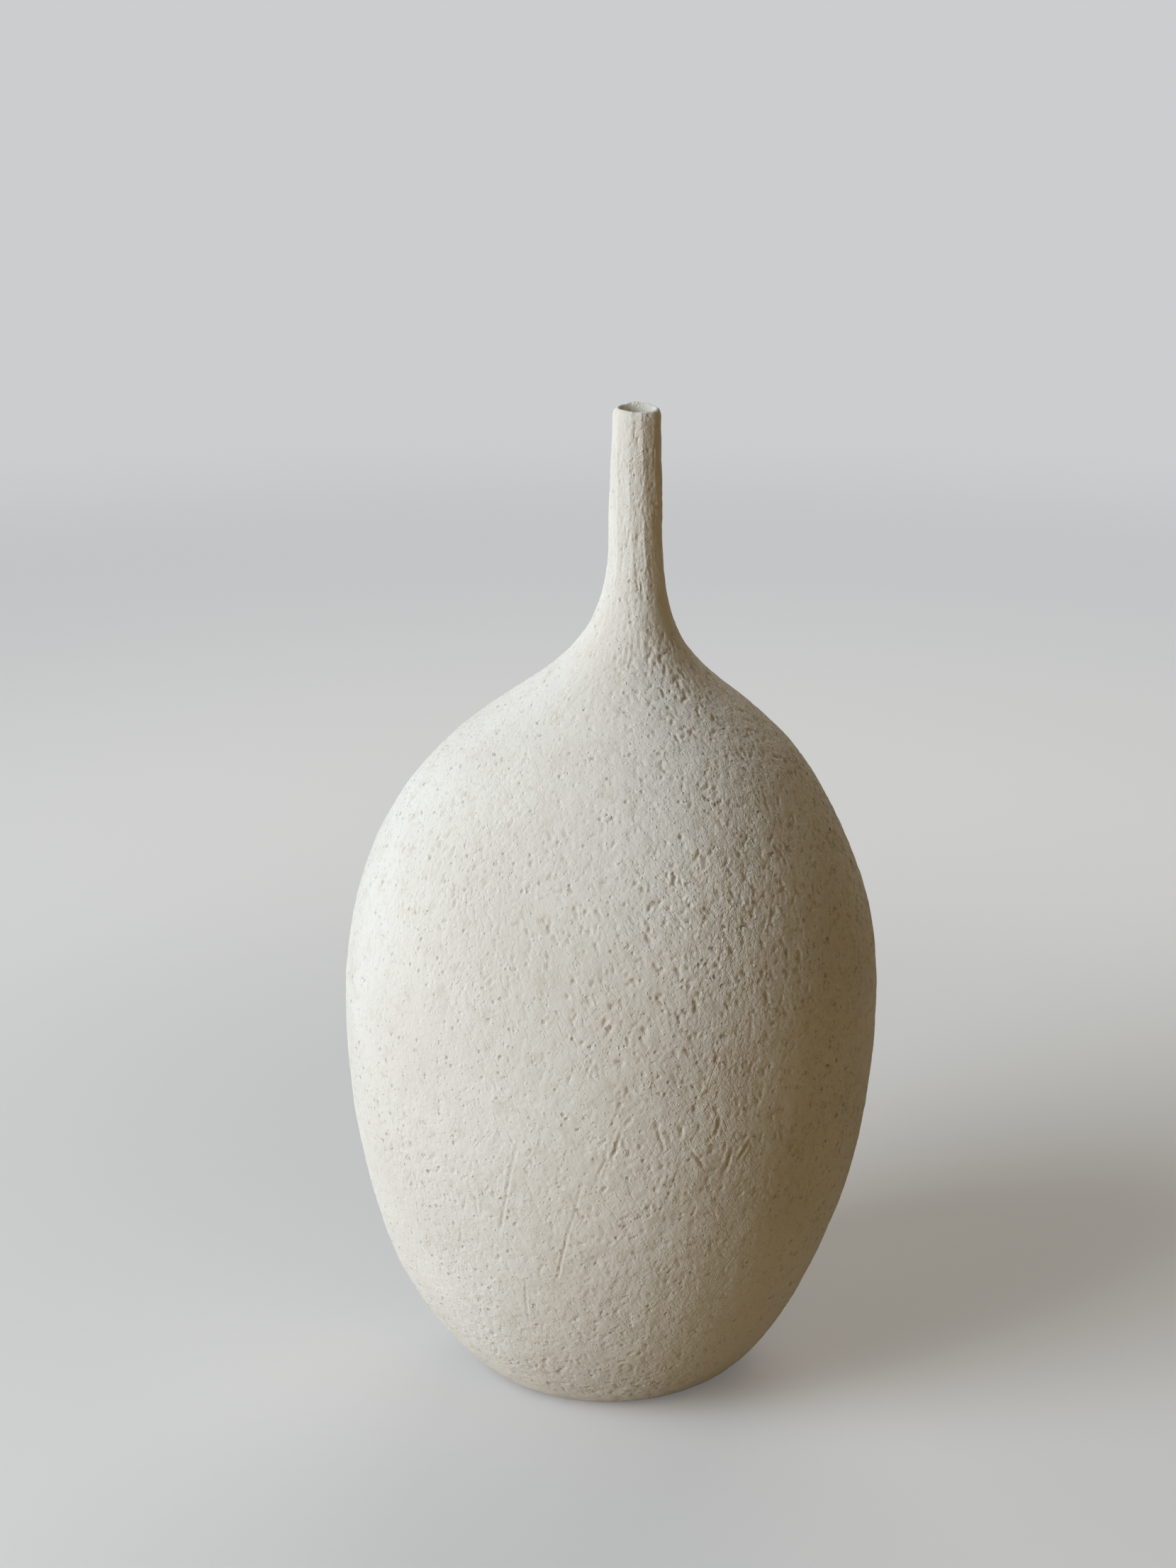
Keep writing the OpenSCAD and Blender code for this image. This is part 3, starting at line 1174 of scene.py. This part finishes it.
@dataclass
class Neck(Section):
    """The neck tube: scraped flat in long strokes outside, straight inside, with a thin lip."""

    glaze_top: float = 244 * MM
    facets: tuple = (0.35, 1.02, 1.83, 2.5, 3.3, 3.92, 4.5, 5.02, 5.62)
    facet_depth: float = 0.2 * MM
    lip_dip: float = 0.3 * MM
    lip_swing: float = 0.13 * MM
    lip_rings: tuple = (
        (0.44, 0, 1), (0.34, -0.08, 1), (0.25, -0.25, 1), (0.15, -0.6, 0.9), (0.05, -1.1, 0.6),
    )
    grid: float = 0.2 * MM
    around: int = 200
    trimmed: tuple = (246 * MM, 249.6 * MM)

    def facet(self, turn: np.ndarray, z: float) -> np.ndarray:
        """Gives the depth that the long strokes cut at each angle.

        Args:
            turn: angles round the neck.
            z: height.

        Returns:
            Heights, above 0 at the ridges.
        """
        edges = np.array(self.facets) + 0.1 * math.sin(z * 70)
        edges = np.concatenate([[edges[-1] - 2 * math.pi], edges, [edges[0] + 2 * math.pi]])
        where = np.mod(turn, 2 * math.pi)
        k = np.clip(np.searchsorted(edges, where) - 1, 0, len(edges) - 2)
        middle, half = (edges[k] + edges[k + 1]) / 2, (edges[k + 1] - edges[k]) / 2
        cut = 1 - ((where - middle) / half) ** 2
        sway = 0.75 + 0.35 * np.sin(z * 190 + 2.4 * k)
        return self.facet_depth * (0.75 - cut) * sway * float(smooth(np.array(z), 188 * MM, 214 * MM))

    def lip_rise(self, turn: np.ndarray) -> np.ndarray:
        """Gives the unevenness of the lip, which was trimmed by hand.

        Args:
            turn: angles round the neck.

        Returns:
            Heights to add at the very edge, below 0 on the whole.
        """
        lobes = np.random.default_rng(5).uniform(0, 6.28, 6)
        wave = sum(np.sin((m + 1) * turn + lobes[m]) / (1 + 0.5 * m) for m in range(6))
        return self.lip_swing * wave - self.lip_dip

    def outer(self, shell: Shell) -> None:
        """Adds the outside and the lip, over its edge to the top of the bore.

        Args:
            shell: the solid being made.
        """
        form, count = self.form, self.around
        runs = np.linspace(form.run_at(self.low), form.run[-1], self.rows())
        r, z, nr, nz = form.skin_at(runs)
        turn = np.arange(count) * 2 * math.pi / count
        rise = self.lip_rise(turn)
        for k in range(len(runs)):
            near = float(smooth(np.array(z[k]), *self.trimmed))
            mark = self.marks.sample(np.full(count, runs[k]), turn) * (1 - 0.5 * near)
            mark = mark + self.facet(turn, z[k])
            shell.ring(r[k], z[k], nr[k], nz[k], count, 1 - 0.6 * near, mark, near * rise, corner=k == 0)
        for r_in, z_in, fade in self.lip_rings:
            ring_r, ring_z = form.bore_r + r_in * MM, form.height + z_in * MM
            shell.ring(ring_r, ring_z, -0.8, 0.4, count, 0.3, rise=rise * fade)

    def inner(self, shell: Shell) -> None:
        """Adds the bore, down past the edge of the glaze to the seam.

        Args:
            shell: the solid being made.
        """
        form = self.form
        for z in np.linspace(form.height - 1.6 * MM, self.glaze_top, 18):
            shell.ring(form.bore_r, z, -1, 0, self.around, 0.25)
        throat = form.bore_r + form.glaze_t
        shell.ring(throat, self.glaze_top, 0, 1, self.around, corner=True)
        for z in np.linspace(self.glaze_top, self.low, 12)[1:]:
            shell.ring(throat, z, -1, 0, self.around, corner=z == self.low)


@dataclass
class Liner:
    """The glaze that coats the inside."""

    form: PotForm
    floor: float = 6 * MM
    neck_low: float = 206 * MM
    top: float = 244 * MM
    edge: float = 0.12 * MM
    around: int = 96
    nodes: tuple = ("liner_belly", "liner_shoulder", "liner_neck")

    def build(self, glaze: bpy.types.Material) -> bpy.types.Object:
        """Makes the coat as a thin closed shell.

        Args:
            glaze: its finish.

        Returns:
            The piece.
        """
        form, t, count = self.form, self.form.glaze_t, self.around
        made = Shell(form)
        heights = np.concatenate([
            np.linspace(self.floor, 30 * MM, 24), np.linspace(30 * MM, self.neck_low, 110)[1:],
            np.linspace(self.neck_low, self.top, 60)[1:],
        ])
        middle = form.inner_r(self.floor) / 2
        made.ring(0, self.floor, 0, -1, 1)
        made.ring(middle, self.floor, 0, -1, count)
        for z in heights:
            made.ring(form.inner_r(z), z, 1, 0, count, corner=z in (self.floor, self.top))
        made.ring(form.bore_r + self.edge, self.top, 0, 1, count)
        for z in heights[::-1]:
            z = min(max(z, self.floor + t), self.top - self.edge)
            made.ring(form.inner_r(z) - t, z, -1, 0, count)
        made.ring(middle, self.floor + t, 0, 1, count)
        made.ring(0, self.floor + t, 0, 1, 1)
        mesh = made.mesh("liner_coat")
        mesh.shade_smooth()
        mesh.materials.append(glaze)
        piece = bpy.data.objects.new("liner_coat", mesh)
        bpy.context.scene.collection.objects.link(piece)
        report(piece, self.nodes)
        return piece


@dataclass
class Grains:
    """Grains of grog that stand a little proud of the scraped clay."""

    seed: int = 7
    open_clay: float = 0.9

    def build(self, skins: list, clay: bpy.types.Material) -> bpy.types.Object:
        """Seats the grains on the outside of the finished sections.

        Args:
            skins: the sections.
            clay: the grains' finish.

        Returns:
            The piece.
        """
        points, faces, offset = [], [], 0
        for skin in skins:
            mesh = skin.data
            co = np.zeros(len(mesh.vertices) * 3, np.float32)
            mesh.vertices.foreach_get("co", co)
            relief = np.zeros(len(mesh.vertices), np.float32)
            mesh.attributes["relief"].data.foreach_get("value", relief)
            mesh.calc_loop_triangles()
            tris = np.zeros(len(mesh.loop_triangles) * 3, np.int32)
            mesh.loop_triangles.foreach_get("vertices", tris)
            tris = tris.reshape(-1, 3)
            tris = tris[(relief[tris] > self.open_clay).all(axis=1)]
            points.append(co.reshape(-1, 3))
            faces.append(tris + offset)
            offset += len(mesh.vertices)
        host = bpy.data.meshes.new("outside")
        host.from_pydata(np.vstack(points).tolist(), [], np.vstack(faces).tolist())
        tree = GrainTree()
        piece = grow(host, "grog_grains", tree.tree, {**tree.INPUTS, "Seed": self.seed, "Clay": clay})
        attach(piece, "root")
        log.info("%s: %d faces", piece.name, len(piece.data.polygons))
        return piece


def report(piece: bpy.types.Object, nodes: tuple) -> None:
    """Puts a piece on the pot's body in place of its CAD nodes, and logs it.

    Args:
        piece: the piece.
        nodes: the CAD nodes it stands for.
    """
    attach(piece, "root")
    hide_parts(*nodes)
    piece.data.calc_loop_triangles()
    boxes = [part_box(n) for n in nodes]
    low, high = min(b[0][2] for b in boxes), max(b[1][2] for b in boxes)
    tall = [v.co.z for v in piece.data.vertices]
    log.info(
        "%s: %d triangles, %.1f to %.1f mm high, CAD %.1f to %.1f", piece.name,
        len(piece.data.loop_triangles), min(tall) / MM, max(tall) / MM, low / MM, high / MM,
    )


@dataclass(frozen=True)
class Lamp:
    """One soft square lamp: where it hangs, its side in metres, its power in watts and its colour."""

    name: str
    place: tuple
    side: float
    power: float
    colour: tuple


LAMPS = (
    Lamp("window_top", (-1.06, -0.61, 0.98), 0.9, 15.6, (0.78, 0.90, 1.0)),
    Lamp("window", (-1.235, -0.84, 0.42), 0.9, 12.2, (1.0, 0.985, 1.0)),
    Lamp("room", (0.42, -1.16, 0.98), 0.9, 1.7, (1.0, 0.55, 0.12)),
    Lamp("wall", (0.3, 1.5, 0.75), 1.2, 12.0, (1.0, 0.95, 0.87)),
)


@dataclass
class Studio:
    """Floor, lamps and camera."""

    floor_tone: tuple = (0.62, 0.62, 0.62, 1.0)
    bounce_tone: tuple = (0.34, 0.26, 0.15, 1.0)
    backdrop_tone: tuple = (0.6, 0.612, 0.625, 1.0)
    glow_tone: tuple = (1.0, 0.87, 0.56, 1.0)
    glow: float = 0.08
    aim: tuple = (0, 0, 0.12)
    eye: tuple = (-0.00569, -1.0, 0.4993)
    tilt: float = 70.96
    lens: float = 98.3

    @staticmethod
    def seen(t: Tree) -> bpy.types.NodeSocket:
        """Tells the rays that see the backdrop from those that carry its light.

        Args:
            t: the tree of the floor or the world.

        Returns:
            1 for what is seen, directly, in a reflection or through glass, and 0 for the rest.
        """
        ray = t.add("ShaderNodeLightPath").outputs
        seen = t.maths("MAXIMUM", ray["Is Camera Ray"], ray["Is Glossy Ray"])
        return t.maths("MAXIMUM", seen, ray["Is Transmission Ray"])

    def floor(self) -> None:
        """Lays a plain pale floor, which keeps the shadow and fades into the backdrop further off."""
        mesh = bpy.data.meshes.new("floor")
        mesh.from_pydata([(-6, -6, 0), (6, -6, 0), (6, 8, 0), (-6, 8, 0)], [], [(0, 1, 2, 3)])
        made = bpy.data.materials.new("floor")
        made.use_nodes = True
        t = Tree(made.node_tree)
        bounce = t.add("ShaderNodeBsdfDiffuse", {"Color": self.bounce_tone})
        here = t.add("ShaderNodeTexCoord").outputs["Object"]
        away = t.add("ShaderNodeVectorMath", {0: here}, operation="LENGTH").outputs["Value"]
        near = Stoneware.mix(t, t.span(away, 0.32, 0.85), self.floor_tone, (0.0, 0.0, 0.0, 1.0))
        pale = t.add("ShaderNodeBsdfDiffuse", {"Color": near})
        rise = t.span(away, 0.12, 1.0, 0.2, 1.0)
        glow = t.add("ShaderNodeEmission", {"Color": self.backdrop_tone, "Strength": rise})
        backed = t.add("ShaderNodeAddShader", {0: pale.outputs[0], 1: glow.outputs[0]})
        paint = t.add("ShaderNodeMixShader", {0: self.seen(t), 1: bounce.outputs[0], 2: backed.outputs[0]})
        t.add("ShaderNodeOutputMaterial", {"Surface": paint.outputs[0]})
        mesh.materials.append(made)
        floor = bpy.data.objects.new("floor", mesh)
        bpy.context.scene.collection.objects.link(floor)

    def hang(self, lamp: Lamp) -> None:
        """Hangs one lamp and aims it at the middle of the vase.

        Args:
            lamp: the lamp.
        """
        data = bpy.data.lights.new(lamp.name, "AREA")
        data.size, data.energy, data.color = lamp.side, lamp.power, lamp.colour
        hung = bpy.data.objects.new(lamp.name, data)
        hung.location = lamp.place
        way = Vector(self.aim) - Vector(lamp.place)
        hung.rotation_euler = way.to_track_quat("-Z", "Y").to_euler()
        bpy.context.scene.collection.objects.link(hung)

    def light(self) -> None:
        """Lights the vase softly from the left, with a faint warm bounce in front and a wall's behind."""
        world = bpy.data.worlds.new("studio")
        world.use_nodes = True
        t = Tree(world.node_tree)
        glow = t.add("ShaderNodeBackground", {"Color": self.glow_tone, "Strength": self.glow})
        backdrop = t.add("ShaderNodeBackground", {"Color": self.backdrop_tone, "Strength": 1.0})
        both = t.add("ShaderNodeMixShader", {0: self.seen(t), 1: glow.outputs[0], 2: backdrop.outputs[0]})
        t.add("ShaderNodeOutputWorld", {"Surface": both.outputs[0]})
        bpy.context.scene.world = world
        for lamp in LAMPS:
            self.hang(lamp)

    def camera(self) -> None:
        """Sets the camera in front of the vase, above it and looking down."""
        data = bpy.data.cameras.new("camera")
        data.sensor_width, data.lens = 36.0, self.lens
        data.clip_start, data.clip_end = 0.05, 40.0
        camera = bpy.data.objects.new("camera", data)
        camera.location = self.eye
        camera.rotation_euler = (math.radians(self.tilt), 0, 0)
        bpy.context.scene.collection.objects.link(camera)
        bpy.context.scene.camera = camera

    def build(self) -> None:
        """Makes the whole studio."""
        self.floor()
        self.light()
        self.camera()
        bpy.context.scene.view_settings.view_transform = "Standard"


def scrape(form: PotForm) -> ToolMarks:
    """Marks the whole outside as the scraper did.

    Args:
        form: the pot.

    Returns:
        The finished map.
    """
    marks = ToolMarks(form)
    total = sum(marks.spread(style, low * MM, high * MM, gain) for style, low, high, gain in BANDS)
    for scratch in SCRATCHES:
        marks.draw(scratch)
    log.info("tool marks: %d", total)
    return marks


def main() -> None:
    """Builds the vase section by section, then the studio round it."""
    logging.basicConfig(level=logging.INFO, format="%(message)s")
    form = PotForm()
    marks = scrape(form)
    relief = ReliefTree()
    clay = Stoneware().material()
    foot = Stoneware(name="stoneware_foot", grain_bump=0.7, pit_bump=0.5, roughness=0.86).material()
    z = {n: (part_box(n)[0][2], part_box(n)[1][2]) for n in ("foot_slab", "shoulder", "neck_tube")}
    seams = [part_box(f"course_{k}")[0][2] for k in (1, 2, 3, 4)] + [z["shoulder"][0]]
    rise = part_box("course_1")[1][2] - seams[1]
    pieces = [FootSlab("foot_slab", form, marks, 0.0, z["foot_slab"][1]).build(relief, foot)]
    for k in range(4):
        scarfs = (rise if k else 0.0, rise if k < 3 else 0.0)
        course = Section(f"course_{k + 1}", form, marks, seams[k], seams[k + 1], *scarfs)
        pieces.append(course.build(relief, clay))
    pieces.append(Section("shoulder", form, marks, seams[4], z["neck_tube"][0]).build(relief, clay))
    pieces.append(Neck("neck_tube", form, marks, z["neck_tube"][0], form.height).build(relief, clay))
    Liner(form).build(LinerGlaze().material())
    Grains().build(pieces[1:], clay)
    Studio().build()


if __name__ == "__main__":
    main()
